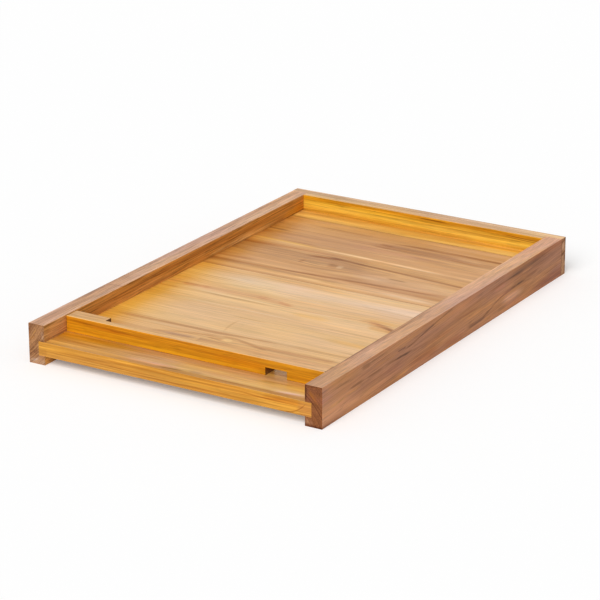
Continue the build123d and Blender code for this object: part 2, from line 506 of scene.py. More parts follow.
# The wide pale floor board, 72 to 298 mm behind the front
paleBoard = {
    "node": "floor_board_mid_front", "lie": "floor", "seed": 1.0, "gloss": floorGloss, "wear": jointWear,
    "colours": {"light": (0.828, 0.522, 0.23), "band": (0.735, 0.434, 0.172), **paleEnds},
    "shares": {"drift": 0.4, "streaky": 0.13, "ring": 0.34, "fibre": 0.36, "pores": 0.1},
    "rings": {"across": 430.0, "depth": -60.0, "drift": 0.02, "width": 5.2, "late": 0.32, "wander": 1.0},
    "knots": [
        knot(2.0, 103.0, 4.5, 1.2, "honey", "tan", 0.5),
        knot(-150.0, 231.0, 7.0, 1.4, "rose", "tan", 0.6),
    ],
    "streaks": [
        # Orange and amber along the left rail: painted reflection of the rail in the floor
        athwart((50, -160), 310, 68, "orange", 0.95, fade=4),
        athwart((80, -148), 230, 20, "amber", 0.4, fade=30),
        # Darker next to the right rail: painted shade
        athwart((60, 158), 132, 20, "shade", 0.55),
        streak((-260, 98), (260, 99), 28, "tan", 0.65),
        # Darker just behind the reducer: painted shade
        streak((-170, 86), (50, 85), 11, "brown", 0.4),
        streak((-10, 145), 220, 10, "lift", 0.3),
        streak((-120, 264), 260, 32, "cream", 0.7),
        streak((-200, 291), (60, 289), 11.2, "tan", 0.62),
        streak((-85, 291), (40, 288), 6.2, "russet", 0.35),
        streak((-220, 271), (220, 270), 18.8, "cream", 0.38),
        straight((-158, 264), (-60, 263), 1.5, "line", 0.6),
        straight((36, 264), (180, 259), 1.6, "line", 0.7),
        straight((40, 282.5), (180, 281.5), 1.5, "line", 0.5),
        straight((-130, 247), (-36, 252.5), 2.4, "line", 0.6),
        straight((-50, 252.5), (180, 247), 2.6, "line", 0.45),
        streak((-190, 244), (0, 240), 13.8, "tan", 0.35),
        streak((-40, 241), (190, 239), 15, "russet", 0.25),
        straight((-142, 228.5), (-100, 230), 6, "russet", fade=8),
        straight((-142, 229.5), (-112, 229), 5, "brown", 0.7, fade=10),
        straight((-124, 230.5), (-20, 232), 9, "russet", sag=-2, fade=20),
        straight((-48, 233), (14, 223.5), 8.6, "russet", fade=16),
        straight((-18, 230.5), (8, 222.5), 4.6, "russet", fade=8),
        straight((-2, 222), (60, 220.5), 2.2, "russet", 0.8, sag=-0.8),
        straight((44, 220), (100, 225.5), 3.4, "russet", 0.6),
        straight((-154, 218.8), (8, 217.8), 2, "cream", 0.9),
        straight((16, 216.5), (98, 220.5), 1.9, "cream", 0.6),
        straight((-162, 213), (-132, 213.5), 2.4, "brown", fade=6),
        straight((-126, 214.6), (8, 213.4), 1.8, "brown"),
        straight((84, 224), (122, 222), 7, "rust", 0.9, sag=2.4, fade=12),
        straight((92, 231), (136, 229), 5, "orange", 0.5, fade=12),
        straight((96, 225), (144, 209), 9, "rust", sag=2.6, fade=12),
        straight((106, 223), (146, 208), 7, "brown", 0.9, sag=2.4, fade=12),
        straight((114, 221), (146, 208), 5, "line", 0.9, sag=1.6, fade=10),
        straight((122, 218), (146, 208), 4, "olive", 0.6, sag=0.8, fade=8),
        straight((104, 213), (142, 208), 8, "rust", 0.9, fade=9),
        straight((104, 212), (142, 208), 7, "amber", 0.4, fade=9),
        streak((-90, 278), 170, 6, "lift", 0.42),
        streak((-230, 205), -100, 8, "shade", 0.5),
        streak((50, 174), 190, 6, "lift", 0.4),
        streak((0, 142), 180, 6, "lift", 0.3),
        streak((8, 207), (72, 206), 9, "orange", 0.5),
        straight((-158, 189), (44, 189.4), 1.9, "cream", 0.9),
        straight((38, 187), (180, 184), 1.8, "line", 0.8),
        straight((22, 178.6), (124, 177.4), 1.6, "line", 0.7),
        straight((86, 177.2), (180, 175.4), 1.4, "line", 0.5),
        straight((-42, 167.2), (20, 167.7), 1.5, "brown"),
        streak((70, 158.5), (180, 156), 8.1, "orange", 0.62),
        athwart((119, -15), (167, -19), 2.2, "brown", 0.6, sag=-3.2),
        straight((106, 134), (180, 133), 1.7, "line", 0.7),
        straight((-160, 116), 10, 5, "brown", fade=34),
        straight((-116, 116.2), (-6, 116.4), 2.4, "line", 0.4),
        straight((-46, 116.4), (70, 122), 4, "brown"),
        straight((-20, 117.4), (64, 121.6), 3, "line", 0.6),
        straight((40, 120.8), (180, 126), 4.4, "brown", 0.8),
        straight((-146, 109.5), (-44, 110), 3.8, "cream", 0.6),
        straight((-90, 86), (-6, 108.4), 4.6, "brown", 0.9, sag=3.6, fade=16),
        straight((-80, 91), (-22, 93.5), 6.4, "ash"),
        straight((-74, 90), (-24, 92), 5, "dusky", 0.7),
        straight((-24, 100.4), (-1, 102.6), 3.6, "brown", fade=7),
        straight((4, 111), (58, 95.5), 4.6, "brown", sag=0.6, fade=14),
        straight((-14, 110), (16, 110.5), 3.4, "brown", 0.7, fade=10),
        straight((30, 103), (140, 105), 7.4, "brown", 0.9, fade=20),
        straight((56, 104.5), 136, 4.4, "ash", 0.5, fade=16),
        straight((-7, 103), 10, 7, "honey", 0.6, fade=5),
        straight((-90, 99), 90, 9, "shade", 0.2),
        streak((-60, 268), 240, 34, "mauve", 0.5),
        streak((-70, 192), 180, 16, "mauve", 0.4),
        straight((-200, 298.2), 200, 0.9, "deep", 0.75),
    ],
}

# The brown floor board, 298 to 491 mm behind the front
brownBoard = {
    "node": "floor_board_mid_rear", "lie": "floor", "seed": 2.0, "gloss": dryGloss, "wear": jointWear,
    "colours": {"light": (0.735, 0.403, 0.154), "band": (0.61, 0.305, 0.104),
                "endLight": (0.22, 0.08, 0.02), "endDark": (0.11, 0.035, 0.01)},
    "shares": {"drift": 0.55, "streaky": 0.5, "ring": 0.42, "fibre": 0.3, "pores": 0.12},
    "rings": {"across": 362.0, "depth": -70.0, "drift": -0.008, "width": 5.4, "late": 0.36, "wander": 2.0},
    "knots": [knot(-40.0, 360.0, 6.5, 2.4, "honey", "brown", 0.45)],
    "streaks": [
        # Along the left rail: the tan and amber strips are a painted reflection of the rail; the brown strip
        # makes the floor darker next to it
        athwart((280, -160), 512, 54, "tan", fade=10),
        athwart((300, -160), 492, 13, "brown", 0.7, fade=10),
        streak((-240, 480), (60, 479), 14, "tan", 0.35),
        athwart((285, -150), 505, 36, "amber", 0.35, fade=10),
        streak((-70, 470), 160, 5, "lift", 0.3),
        streak((60, 446), 180, 12, "shade", 0.2),
        streak((-180, 390), -30, 5, "tan", 0.6),
        streak((0, 374), 150, 6, "shade", 0.3),
        streak((60, 350), 170, 6, "lift", 0.3),
        streak((-180, 310), 30, 6, "tan", 0.45),
        streak((-125, 471), -10, 2.1, "line", 0.69),
        straight((-14, 460.5), (72, 467.5), 3.8, "line"),
        straight((40, 467), (180, 461), 3.8, "line"),
        straight((-6, 463), (170, 463.5), 4, "brown"),
        streak((-35, 450), (112, 449), 16.2, "dusky", 0.85),
        streak((-20, 453), (6, 451), 4.5, "brown"),
        streak((-24, 443), 8, 3.5, "brown", 0.88),
        streak((50, 446), (160, 443), 10, "shade", 0.3),
        streak((76, 453), (124, 450), 5, "honey", 0.5),
        streak((68, 444), (132, 442), 3.8, "brown"),
        streak((-170, 441.5), -126, 3.5, "deep", 0.69),
        streak((-170, 428), -140, 4.4, "brown", 0.75),
        streak((-65, 432), (95, 430), 10, "rose", 0.56),
        streak((-22, 439), 28, 1.4, "pale", 0.62),
        streak((0, 428), (150, 426), 9, "shade", 0.35),
        streak((-60, 414), (200, 412), 6, "lift", 0.3),
        streak((-24, 419), (64, 418), 1.8, "honey", 0.62),
        straight((-130, 410.8), (-64, 409.8), 1.8, "brown"),
        straight((-170, 408), (-58, 404), 4.2, "amber", 0.9),
        streak((-190, 407), (-55, 402), 4.2, "honey"),
        streak((-82, 402.8), (26, 399.2), 4.5, "pale"),
        streak((2, 399.8), (116, 395.3), 4.2, "pale"),
        streak((88, 396), (190, 394), 4.2, "honey", 0.75),
        streak((-280, 376), (40, 374), 23, "shade", 0.95),
        streak((-10, 386), (120, 380), 9, "shade", 0.5),
        streak((-280, 315), 40, 7, "shade", 0.75),
        streak((-60, 401), (170, 395.5), 4.5, "lift", 0.6),
        streak((-280, 390), (40, 389), 6.5, "brown", 0.85),
        streak((-280, 361), 30, 9, "shade", 0.5),
        streak((0, 334), (150, 335), 5, "lift", 0.3),
        streak((-240, 301), 110, 5, "tan", 0.6),
        straight((-190, 386.6), (-90, 386.4), 3.6, "brown"),
        straight((-74, 373), (-14, 383), 4.2, "brown", sag=2),
        straight((-48, 384), (14, 379.4), 4, "line", fade=14),
        straight((-26, 382.4), (76, 374.2), 3.4, "line"),
        straight((36, 376.8), (190, 366), 3.4, "line"),
        straight((-46, 384), (200, 365.5), 3.8, "brown", 0.9, fade=14),
        streak((-76, 376), (-16, 379), 8.1, "brown", 0.94),
        streak((-68, 358.5), (-59, 360), 4.2, "brown", 0.88, fade=3),
        streak((-34, 361), (-16, 360), 4, "brown", 0.7, fade=7),
        streak((-20, 360.3), (-10, 360), 3.5, "pale", fade=3),
        straight((44, 354.6), (78, 354), 3, "olive", 0.9),
        streak((70, 356), (190, 352), 11.2, "honey", 0.5),
        streak((-44, 341), (64, 346), 5.2, "honey", 0.75),
        streak((-180, 331.5), (-96, 333), 3.5, "brown"),
        streak((0, 345), (260, 347), 15, "pale", 0.5),
        straight((-200, 317.8), (-34, 321.4), 4.2, "brown"),
        straight((-90, 319), (28, 326.2), 3.6, "line"),
        straight((-14, 324.8), (90, 330), 3.6, "line"),
        straight((60, 328.6), (146, 336), 3.4, "line", 0.9),
        straight((-96, 319.5), (140, 333), 4.2, "brown", 0.8, sag=0.8),
        streak((-70, 325), (170, 321), 5.8, "brown", 0.75),
        streak((-220, 308), (220, 309), 9.4, "honey", 0.55),
        streak((-50, 309.5), (0, 309), 3.8, "pale", 0.62),
        streak((50, 311), (146, 307), 5, "pale", 0.56),
        streak((-200, 400), 20, 13, "amber", 0.25),
        streak((30, 430), 95, 6, "shade", 0.3),
        streak((-70, 310), 50, 7, "amber", 0.3),
        straight((-200, 298.2), 200, 0.9, "deep", 0.75),
        straight((-200, 490.7), 200, 1, "deep", 0.88),
    ],
}

# The narrow golden board along the back rail
rearBoard = {
    "node": "floor_board_rear", "lie": "floor", "seed": 3.0, "gloss": floorGloss, "wear": jointWear,
    "colours": {"light": (0.92, 0.56, 0.15), "band": (0.78, 0.42, 0.08), **paleEnds},
    "shares": {"drift": 0.5, "streaky": 0.9, "ring": 0.9, "fibre": 0.2, "pores": 0.12},
    "rings": {"across": 620.0, "depth": -30.0, "drift": 0.01, "width": 6.0, "late": 0.4, "wander": 1.2},
    "streaks": [
        # Orange line at the back rail's foot: painted reflection of the rail
        streak((-220, 515), 220, 4.5, "orange", 0.75),
        streak((-190, 500), (160, 501), 10, "lift", 0.8),
        # Darker where the floor meets the back rail: painted shade
        streak((-240, 518), -60, 6, "shade", 0.6),
        streak((-240, 518.5), 50, 5.5, "brown", 0.75),
        streak((-155, 509.5), -45, 4.5, "tan", 0.75),
        streak((25, 508), (170, 509), 5, "orange", 0.88),
        streak((-155, 510), -90, 5, "shade", 0.4),
        streak((75, 510), 140, 5, "tan", 0.5),
        straight((-200, 490.7), 200, 1, "deep", 0.75),
    ],
}

# The landing in front of the reducer, with the floor's front edge
frontBoard = {
    "node": "floor_board_front", "lie": "floor", "seed": 4.0, "gloss": floorGloss, "wear": rubbedArrisAndGlint,
    "colours": {"light": (0.727, 0.407, 0.1315), "band": (0.595, 0.305, 0.079), **paleEnds},
    "shares": {"drift": 0.7, "streaky": 0.75, "ring": 0.9, "fibre": 0.4, "pores": 0.08},
    "rings": {"across": -50.0, "depth": -150.0, "drift": 0.03, "width": 6.0, "late": 0.45, "wander": 2.2},
    # Front edge made deeper orange: painted light on the front face
    "paintedFaceLight": {"front": (1.13, 1.045, 0.55)},
    "streaks": [
        streak((-120, 17), 260, 17, "pale", 0.75, fade=110),
        streak((40, 16), (200, 18), 11, "lift", 0.35),
        # Darker in front of the reducer: painted shade and reflection of the reducer
        streak((-160, 35), (150, 34), 10, "ash", 0.75, fade=60),
        streak((-220, 20), -85, 17, "orange", 0.75),
        streak((-135, 28), -25, 10, "tan", 0.55),
        streak((-90, 11), 130, 10, "pale", 0.5),
        streak((95, 11), 210, 7, "pale", 0.5),
        streak((60, 19), 210, 8, "lift", 0.45),
        streak((-220, 5), -40, 7, "lift", 0.7, fade=70),
        streak((0, 5), 120, 5, "lift", 0.35),
        # Orange and amber in front of the reducer: painted reflection of its front
        streak((-200, 33), (-70, 34), 11.2, "orange", 0.88),
        streak((-240, 31), -45, 14, "amber", 0.7),
        streak((-125, 23.5), 25, 8.5, "ash", 0.6),
        streak((95, 24), 210, 10, "gilt"),
        streak((20, 33), 120, 6, "lift", 0.25),
        streak((-240, 6), -40, 6, "gilt", 0.9),
        streak((-75, 10), 5, 7, "blush", 0.6),
        streak((-90, 16.5), (22, 17.5), 12.5, "ash", 0.44),
        streak((-84, 17.5), (-12, 22.5), 2.1, "line", 0.69),
        streak((-44, 9.5), (12, 11), 4.5, "ash", 0.75),
        streak((-26, 4.4), (16, 8.4), 2.2, "deep", 0.9),
        streak((-44, 6), (16, 14), 3, "blush", 0.8),
        streak((12, 11), (34, 9), 5, "ash", 0.75),
        streak((22, 5), (112, 6), 2.9, "brown", 0.94),
        streak((80, 6), (160, 12), 2.2, "brown", sag=-2.5),
        streak((24, 6.2), (96, 6), 1.5, "deep", 0.45),
        streak((106, 5.6), (156, 13.6), 5, "pale", 0.7),
        streak((108, 6.6), (156, 13.2), 5, "rose", 0.9),
        streak((104, 2.6), (146, 5.6), 1.6, "brown"),
        streak((86, 26), (130, 28.8), 1.7, "brown", 0.9, fade=10),
        streak((88, 28), (144, 31), 1.9, "line", 0.88),
        # Paler floor under the reducer's small notch: painted light where the notch shades it
        streak((58, 49), 136, 12, "honey", 0.7, fade=24),
        streak((50, 52), 134, 10, "lift", 0.8, fade=28),
        streak((50, 52), 134, 10, "gilt", 0.8, fade=28),
        streak((74, 44), 126, 5, "amber", 0.5, fade=18),
        # Amber in front of the reducer: painted reflection of its front
        streak((78, 24), 128, 13, "amber", 0.35),
        streak((-112, 24), -66, 7, "shade", 0.2),
        streak((-16, 27), 44, 6, "shade", 0.2),
        # Amber in front of the reducer: painted reflection of its front
        streak((-240, 29), -52, 13, "amber", 0.9),
        streak((-160, 17.5), -75, 1.6, "brown", 0.8),
        # Amber in front of the reducer: painted reflection of its front
        streak((78, 27), 210, 13, "amber", 0.5),
        streak((10, 16), 80, 9, "mauve", 0.9),
        streak((-78, 6), 2, 5, "mauve"),
        streak((116, 8), (180, 9), 6, "mauve", 0.9),
        streak((-20, 27), 45, 6, "tan", 0.3),
        streak((-170, 20.5), (60, 20), 0.9, "line", 0.62, run="edge"),
        streak((-170, 16.5), (20, 16), 0.9, "line", 0.75, run="edge"),
        streak((-60, 13), (170, 15), 0.9, "line", 0.62, run="edge"),
        streak((0, 19), (150, 20.5), 0.9, "line", 0.62, run="edge"),
        onEdge((-190, 17.8), (-10, 15.8), 0.8, "brown", 0.8),
        onEdge((-150, 14.4), (80, 12.4), 0.8, "brown", 0.8),
        onEdge((-60, 21.8), (90, 20.2), 0.8, "line", 0.7),
        onEdge((127, 11.5), (160, 24.4), 1.1, "brown", sag=-5.6, fade=3),
        onEdge((134, 12), (158, 22), 0.7, "deep", 0.6, sag=-4, fade=3),
        onEdge((57, 18), (148, 24.4), 0.9, "brown", sag=-1.9),
        onEdge((147, 18), 182, 12, "ash", 0.9, fade=5),
        onEdge((149, 18), 182, 12, "rose", 0.9, fade=5),
        onEdge((104, 21.6), 158, 5, "tan", fade=12),
        onEdge((118, 22.5), 156, 4, "rust", 0.6, fade=9),
        onEdge((-170, 15), -154, 5, "dusky", 0.5, fade=3),
        onEdge((-140, 23.6), -15, 2.6, "lift", 0.45),
        onEdge((-10, 23.4), 125, 3, "tan", 0.6),
        onEdge((-175, 13), -75, 3, "shade", 0.35),
        onEdge((-172, 19.2), (-50, 19), 0.8, "brown", 0.9),
        onEdge((-140, 17.6), (-20, 17.4), 0.7, "brown", 0.9),
        onEdge((-110, 22), (30, 21.6), 0.8, "tan"),
        onEdge((-20, 20.4), (110, 20.6), 0.7, "brown", 0.8),
        onEdge((0, 14.2), (140, 12.6), 0.7, "brown", 0.8),
        onEdge((-80, 11.6), 60, 0.9, "brown", 0.7),
        onEdge((60, 22.5), (160, 20), 1.2, "brown", 0.9, sag=-1),
    ],
}

# Left rail: its top and its inner face show
leftRail = {
    "node": "side_rail_left", "lie": "side", "seed": 5.0, "gloss": railGloss, "wear": rubbedArrisAndGlint,
    "colours": {"light": (0.7, 0.33, 0.12), "band": (0.57, 0.25, 0.08),
                "endLight": (0.37, 0.174, 0.07), "endDark": (0.13, 0.046, 0.018)},
    "shares": {"drift": 0.6, "streaky": 0.8, "ring": 0.75, "fibre": 0.7, "pores": 0.3},
    "rings": {"across": 82.0, "depth": -236.0, "drift": 0.02, "width": 4.6, "late": 0.6, "wander": 2.0,
              "tilt": 1.5},
    # Top paler: painted sheen; inner face warmer: painted bounce light from the floor
    "paintedFaceLight": {"up": (1.07, 1.365, 2.39), "right": (1.02, 1.025, 0.68)},
    "streaks": [
        onSide((300, 28.6), (470, 28.4), 3.6, "pale", fade=40),
        onSide((345, 28.8), (440, 28.6), 3.2, "lift", 0.9, fade=26),
        onSide((355, 32.6), (425, 32), 2.4, "cream", 0.75),
        onSide((455, 29.5), 545, 5.5, "gilt", 0.9),
        onSide((462, 30), 545, 7, "amber", 0.9),
        onSide((490, 35), 540, 10, "orange", 0.5),
        onSide((80, 31.4), (205, 29.6), 5.6, "lift", 0.55),
        onSide((195, 33), 310, 2.8, "shade", 0.35),
        onSide((185, 37.6), (455, 37.4), 3.2, "rust", 0.6),
        onSide((105, 42), 205, 3, "shade", 0.75),
        onSide((310, 42), 380, 2.6, "lift", 0.35),
        onSide((385, 42), 465, 2.6, "shade", 0.4),
        onSide((480, 42.6), 545, 2.6, "pale", 0.55),
        onSide((5, 37.5), 42, 7.5, "lift", 0.85, fade=9),
        onSide((-40, 28), 15, 3.6, "shade", fade=8),
        streak((-182, 139), (-154, 142.5), 1.8, "dusky", 0.88, fade=4, run="edgeAthwart", face="up"),
        onTop((60, -168), 150, 40, "shade", 0.25, fade=12),
        onTop((-100, -168), 190, 40, "tan", 0.35, fade=60),
        onTop((420, -168), 620, 40, "tan", 0.35, fade=60),
        onTop((70, -175.5), 255, 6.5, "dusky", 0.8, fade=40),
        onTop((215, -175.5), 360, 6, "dusky", 0.5, fade=40),
        onTop((125, -169), 225, 4, "dusky", 0.35),
        onTop((305, -169), 415, 4, "dusky", 0.45),
        onTop((380, -175.5), 600, 6, "lift", 0.8, fade=40),
        onTop((270, -161.5), 390, 3.8, "lift", 0.6),
        onSide((-80, 34), 46, 30, "cream", fade=14),
        onSide((-80, 34), 46, 30, "cream", 0.45, fade=14),
        onSide((-80, 34), 50, 30, "ash", 0.4, fade=10),
        onSide((-80, 42.4), 28, 3.4, "shade", fade=14),
        onSide((140, 41.6), 192, 2.6, "shade", 0.5),
        onSide((195, 35), 268, 4.4, "shade", 0.3),
        onSide((360, 31), 412, 4.4, "lift", 0.5),
        onSide((425, 31), 495, 4.4, "lift", 0.4),
        onSide((310, 28.6), 345, 3, "lift", 0.5),
        onSide((105, 34), (180, 31), 0.9, "brown", 0.9),
        onSide((150, 38.8), (300, 37), 0.9, "deep", 0.5),
        onSide((230, 31), (340, 30.4), 0.8, "brown", 0.9),
        onSide((280, 35), (430, 34), 0.9, "brown", 0.9),
        onSide((400, 38.6), (510, 38.4), 0.9, "brown", 0.8),
        onEnd((-175, 3.2), (-164, 9.4), 2.2, "cream", fade=3),
        onEnd((-177, 12.5), (-170, 20), 1.5, "olive", 0.6, fade=2),
        onEnd((-172, 11), (-167, 15), 3, "dusky", 0.6, fade=2),
        onEnd((-171, 22), (-164.5, 30), 1.4, "olive", 0.7, fade=2),
        onEnd((-174, 31), (-166, 39), 2, "gilt", fade=3),
        onEnd((-178, 25), (-169, 32), 2.6, "orange", 0.4, fade=3),
        upEnd((24, -178.5), 56, 5, "rust"),
        onEnd((-190, 44), -150, 3.5, "shade", 0.8),
        onEnd((-190, 2), (-150, 4), 7, "pale", 0.75),
        upEnd((27, -160.5), 38, 2.2, "pale", 0.7, fade=3),
        upEnd((9, -166.4), 26, 1.4, "honey", fade=4),
        upEnd((-1, -160.2), (6.5, -159.6), 2.8, "honey", fade=2.5),
        upEnd((-1, -163), (3.5, -161), 1.6, "honey", fade=2),
        onEnd((-178, 3.4), (-166, 6.4), 1.7, "honey", fade=3),
        onEnd((-165, 26.6), -156, 1.8, "deep", 0.7, fade=3),
        onEnd((-182, 9), (-164, 17), 3, "dusky", 0.7, fade=5),
    ],
}

# Right rail, sawn closer to the heart: its top and its outer face show
rightRail = {
    "node": "side_rail_right", "lie": "side", "seed": 6.0, "gloss": railGloss, "wear": rubbedArrisAndGlint,
    "colours": {"light": (0.555, 0.242, 0.097), "band": (0.453, 0.19, 0.072),
                "endLight": (0.24, 0.081, 0.025), "endDark": (0.112, 0.033, 0.01)},
    "shares": {"drift": 0.8, "streaky": 0.4, "ring": 0.3, "fibre": 0.45, "pores": 0.2},
    "rings": {"across": -30.0, "depth": 112.0, "drift": 0.012, "width": 5.6, "late": 0.55, "wander": 3.0,
              "tilt": 2.5},
    # Top paler: painted sheen
    "paintedFaceLight": {"up": (1.41, 1.8, 2.52)},
    "streaks": [
        streak((-60, 28.5), 30, 5, "mauve"),
        straight((-60, 1.2), (50, 1.4), 2.6, "dusky"),
        straight((14, 35), (64, 33.6), 1.8, "olive", 0.55),
        streak((-20, 38.6), (16, 38), 5, "ash", 0.6),
        straight((4, 40.8), (62, 40.4), 2.2, "gilt", 0.6),
        straight((74, 38.6), (98, 37.6), 4, "olive", 0.65, fade=8),
        straight((86, 38.6), (134, 39.8), 1.2, "olive", 0.6),
        straight((92, 34), (142, 36), 1.4, "olive", 0.6),
        straight((48, 24.6), (88, 25.2), 2.3, "olive", 0.85),
        straight((80, 24.2), (126, 25.4), 1.7, "olive", 0.85),
        straight((112, 25.9), (196, 23.2), 1.9, "olive", 0.9, sag=0.4),
        straight((138, 25.4), (182, 23.4), 1.8, "slate", 0.7),
        straight((170, 23.3), (226, 22.4), 1.6, "shade", 0.8),
        straight((42, 20.8), (82, 20.6), 1.7, "gilt"),
        straight((8, 18.4), (54, 18.2), 3, "gilt", 0.9),
        straight((92, 30.6), (160, 31.2), 1.7, "gilt", 0.9),
        straight((148, 32.2), (169, 31.8), 1.7, "slate", 0.8, fade=5),
        straight((150, 35), (172, 34.4), 0.9, "gilt", fade=6),
        straight((164, 29.4), (204, 34.1), 1.5, "olive", fade=10),
        straight((192, 32.8), (232, 38.4), 1.6, "slate", 0.85, fade=10),
        straight((218, 36.6), (274, 43.2), 1.2, "olive", 0.9, fade=12),
        streak((112, 16), (172, 15), 8.5, "mauve", 0.5),
        streak((118, 38.5), (208, 39.5), 3.6, "gilt", 0.6),
        straight((140, 2.4), (180, 6.8), 2, "gilt"),
        straight((236, 0.8), (278, 1.2), 1.8, "gilt"),
        streak((160, 9), (250, 10), 8.5, "rust"),
        streak((240, 8), (296, 6), 6, "rust", 0.8),
        streak((196, 20), 284, 3.4, "rust", 0.6),
        streak((250, 37.5), (350, 37), 8.5, "blush", 0.4),
        straight((264, 26.6), (334, 25.2), 1.4, "rust"),
        straight((276, 23.2), (340, 23.6), 1.3, "gilt"),
        streak((286, 20), 350, 3.4, "gilt", 0.8),
        straight((296, 9.6), (346, 9.2), 3.2, "slate", 0.6, fade=14),
        straight((332, 9.4), (356, 14.6), 2, "olive", fade=7),
        straight((346, 12), (386, 21.6), 1.8, "shade", sag=1, fade=9),
        straight((366, 18.6), (424, 23.2), 2, "dusky", sag=1.2),
        straight((398, 22.6), (442, 23.8), 1.9, "olive", 0.9, fade=12),
        straight((413, 23.2), (434, 23.6), 1.7, "slate", 0.8, fade=7),
        straight((428, 24), (476, 27), 1.8, "shade"),
        straight((344, 34.4), (398, 35.8), 1.7, "rust", 0.9),
        straight((380, 35.6), (438, 35), 1.8, "olive", 0.9),
        straight((392, 35.2), (444, 36.4), 1.3, "slate", 0.6),
        straight((430, 36), (516, 41), 2, "shade"),
        streak((356, 31), (396, 32), 2.8, "blush"),
        straight((362, 26.6), (420, 26.4), 2.6, "lift", 0.8),
        streak((330, 21), (396, 22), 4.6, "gilt"),
        straight((380, 13.6), 430, 4.6, "lift"),
        straight((372, 12), 430, 10, "mauve", 0.7),
        streak((338, 6.4), (356, 6), 2.2, "gilt", fade=6),
        streak((320, 3.4), (372, 4), 3.6, "gilt", 0.8),
        streak((366, 6), 396, 2.4, "olive", 0.45),
        straight((424, 18), (486, 17.6), 3, "lift", 0.7),
        streak((434, 5), (580, 6), 9, "rust"),
        streak((444, 4), 580, 7, "shade", 0.5),
        streak((426, 41), (580, 39), 6.5, "rust"),
        streak((430, 31), 580, 5, "dusky", 0.4),
        straight((424, 33), (458, 32.8), 1.2, "lift"),
        streak((472, 14), (528, 16), 1.8, "line", 0.9),
        onSide((-80, 14), 88, 15, "lift", 0.95, fade=40),
        onSide((40, 6), 112, 6, "lift", 0.4),
        onSide((195, 38), 335, 8, "gilt"),
        onSide((205, 39), 320, 6, "lift", 0.3),
        onSide((250, 30), (360, 29), 6, "gilt", 0.6),
        onSide((250, 26), (360, 25), 7, "amber", 0.25),
        onSide((382, 37), 495, 8, "shade", 0.8),
        onSide((405, 29), 515, 5, "shade", 0.5),
        onSide((100, 14.5), (255, 14), 10, "shade", 0.6),
        onSide((100, 5.5), (165, 5), 6, "shade", 0.45),
        onSide((190, 5), 320, 6, "shade", 0.4),
        onSide((372, 13.2), (440, 13.6), 6.5, "pale", 0.9, fade=20),
        onSide((382, 5), 442, 5, "mauve", 0.9),
        onSide((360, 22), (414, 21), 4, "mauve", 0.9),
        onSide((436, 6), 580, 8, "ash", 0.9),
        onSide((476, 14), 580, 6.5, "ash", 0.85),
        onSide((498, 24), 580, 6, "shade", 0.5),
        onTop((-200, 168), 150, 40, "shade", 0.9, fade=130),
        onTop((-200, 168), 330, 40, "shade", 0.25, fade=130),
        # Dark along the inner arris, this line and the deep line at 158.3 below: painted shade on the rounded
        # arris
        onTop((40, 158.6), 275, 1.6, "shade", 0.8),
        onTop((156, 161.8), (204, 162.8), 1.2, "deep", 0.8),
        onTop((125, 161.4), 255, 4.6, "shade", 0.75, fade=26),
        onTop((30, 158.3), 300, 1.2, "deep", 0.6, fade=40),
        onTop((385, 162), 455, 4, "ash", 0.6),
        onTop((435, 172), 515, 6, "cream", 0.7),
        onTop((340, 174), 415, 4, "lift", 0.45),
        onSide((-60, 22), 60, 30, "cream", 0.3),
        onSide((55, 30), 155, 13, "amber", 0.15),
        onSide((270, 22), 360, 16, "amber", 0.15),
        onSide((394, 26), 620, 40, "shade", 0.33, fade=30),
        onTop((330, 161.5), 560, 4, "shade", 0.28),
        onTop((20, 161), 235, 4.6, "rust", 0.35),
        onTop((395, 171), 480, 6, "mauve", 0.5),
        onEnd((161, 38), (172, 25), 3.6, "gilt", fade=3),
        onEnd((161, 38), (174, 24), 5.4, "gilt", fade=3),
        upEnd((1, 160.4), (9.5, 161), 3, "honey", fade=2.5),
        upEnd((0.5, 160), (6, 160.6), 1.8, "honey", fade=2),
        upEnd((-1, 158.4), 3.4, 1.2, "deep", 0.9, fade=1.4),
        onEnd((164.5, 27.4), (176, 19.6), 1.6, "olive", 0.6, fade=3),
        onEnd((169, 38), (177, 34), 3.2, "olive", 0.45, fade=2),
        onEnd((159, 41.6), 168, 2, "shade", 0.6, fade=2),
        # Dark inner vertical arris of the end: painted shade
        upEnd((26, 158.4), 50, 2.2, "deep", fade=2),
        onEnd((150, 44), (190, 43), 3, "shade", 0.8),
        onEnd((154, 3.5), 169, 4.5, "pale", fade=4),
        onEnd((162, 0.3), 184, 1.4, "deep", 0.8, fade=4),
        onEnd((163, 19), (175, 15), 4, "lift", 0.7, fade=4),
    ],
}

